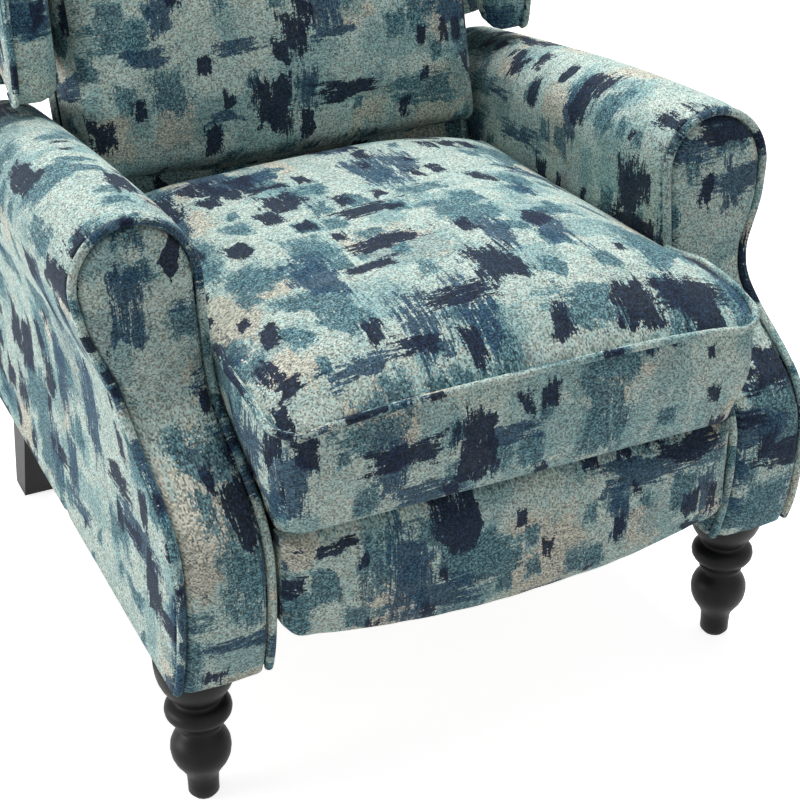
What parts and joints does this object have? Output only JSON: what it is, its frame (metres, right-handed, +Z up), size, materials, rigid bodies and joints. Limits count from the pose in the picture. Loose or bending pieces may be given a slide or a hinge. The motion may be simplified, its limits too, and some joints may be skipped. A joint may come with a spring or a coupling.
{
  "type": "wingback recliner",
  "caption": "Upholstered wingback push-back recliner with rolled arms, turned front legs, raked rear legs, a reclining winged back and a fold-out footrest.",
  "frame": {"origin": "on the floor, under the middle of the overall box", "axes": "+Z up, -Y to the front of the chair, +X to the side that is on the right when the chair is seen from the front"},
  "size_m": [0.7234, 0.8462, 1.0329],
  "materials": {
    "upholstery": "woven, abstract brush marks in aqua, teal and navy",
    "welt": "self-covered cord",
    "frame_wood": "unfinished plywood and hardwood",
    "leg_wood": "black satin paint",
    "steel_black": "black",
    "spring_steel": "plain",
    "glide_plastic": "matte"
  },
  "bodies": {
    "base": {"arm_left": "upholstery", "arm_right": "upholstery", "arm_panel_left": "upholstery", "arm_panel_right": "upholstery", "arm_welt_left": "welt", "arm_welt_right": "welt", "side_frame_left": "frame_wood", "side_frame_right": "frame_wood", "scroll_board_left": "frame_wood", "scroll_board_right": "frame_wood", "base_plate_left": "steel_black", "base_plate_right": "steel_black", "front_leg_left": "leg_wood", "front_leg_right": "leg_wood", "rear_leg_left": "leg_wood", "rear_leg_right": "leg_wood", "leg_blocks": "frame_wood", "hanger_bolts": "spring_steel", "floor_glides": "glide_plastic", "front_stretcher": "frame_wood", "rear_rail": "frame_wood", "rear_apron": "upholstery"},
    "front_links": {"front_swing_link_left": "steel_black", "front_swing_link_right": "steel_black", "swing_cross_tube": "steel_black"},
    "rear_links": {"rear_swing_link_left": "steel_black", "rear_swing_link_right": "steel_black"},
    "seat": {"seat_plate_left": "steel_black", "seat_plate_right": "steel_black", "seat_rail_left": "frame_wood", "seat_rail_right": "frame_wood", "seat_rail_front": "frame_wood", "seat_rail_rear": "frame_wood", "seat_springs": "spring_steel", "seat_cushion": "upholstery", "seat_welt": "welt"},
    "back": {"back_post_left": "frame_wood", "back_post_right": "frame_wood", "back_bracket_left": "steel_black", "back_bracket_right": "steel_black", "wing_left": "upholstery", "wing_right": "upholstery", "wing_frame_left": "frame_wood", "wing_frame_right": "frame_wood", "wing_welt_left": "welt", "wing_welt_right": "welt", "back_rail_top": "frame_wood", "back_rail_mid": "frame_wood", "back_rail_low": "frame_wood", "back_springs": "spring_steel", "back_cushion": "upholstery", "outside_back": "upholstery"},
    "links_a": {"footrest_link_a_left": "steel_black", "footrest_link_a_right": "steel_black"},
    "links_b": {"footrest_link_b_left": "steel_black", "footrest_link_b_right": "steel_black"},
    "footrest": {"footrest_bracket_left": "steel_black", "footrest_bracket_right": "steel_black", "footrest_pad": "upholstery", "footrest_board": "frame_wood"}
  },
  "joints": [
    {"name": "back_recline", "type": "hinge", "parent": "seat", "child": "back", "pos_m": [0, 0.17689, 0.332], "axis": [-1, 0, 0], "range_deg": [0, 30]},
    {"name": "front_link_swing", "type": "hinge", "parent": "base", "child": "front_links", "pos_m": [0, -0.23311, 0.215], "axis": [1, 0, 0], "range_deg": [0, 40]},
    {"name": "seat_on_front_links", "type": "hinge", "parent": "front_links", "child": "seat", "pos_m": [0, -0.20062, 0.30427], "axis": [-1, 0, 0], "range_deg": [0, 40]},
    {"name": "rear_link_swing", "type": "hinge", "parent": "base", "child": "rear_links", "pos_m": [0, 0.04689, 0.215], "axis": [1, 0, 0], "range_deg": [0, 40]},
    {"name": "footrest_link_a_swing", "type": "hinge", "parent": "seat", "child": "links_a", "pos_m": [0, -0.33411, 0.302], "axis": [-1, 0, 0], "range_deg": [0, 115]},
    {"name": "footrest_link_b_swing", "type": "hinge", "parent": "links_a", "child": "links_b", "pos_m": [0, -0.24922, 0.18077], "axis": [1, 0, 0], "range_deg": [0, 155]},
    {"name": "footrest_tilt", "type": "hinge", "parent": "links_b", "child": "footrest", "pos_m": [0, -0.32322, 0.30894], "axis": [-1, 0, 0], "range_deg": [0, 130]}
  ],
  "couplings": [
    {"joint": "front_link_swing", "follows": "back_recline", "ratio": 1.3333},
    {"joint": "seat_on_front_links", "follows": "back_recline", "ratio": 1.3333},
    {"joint": "rear_link_swing", "follows": "back_recline", "ratio": 1.3333},
    {"joint": "footrest_link_a_swing", "follows": "back_recline", "ratio": 3.8333},
    {"joint": "footrest_link_b_swing", "follows": "back_recline", "ratio": 5.1667},
    {"joint": "footrest_tilt", "follows": "back_recline", "ratio": 4.3333}
  ]
}
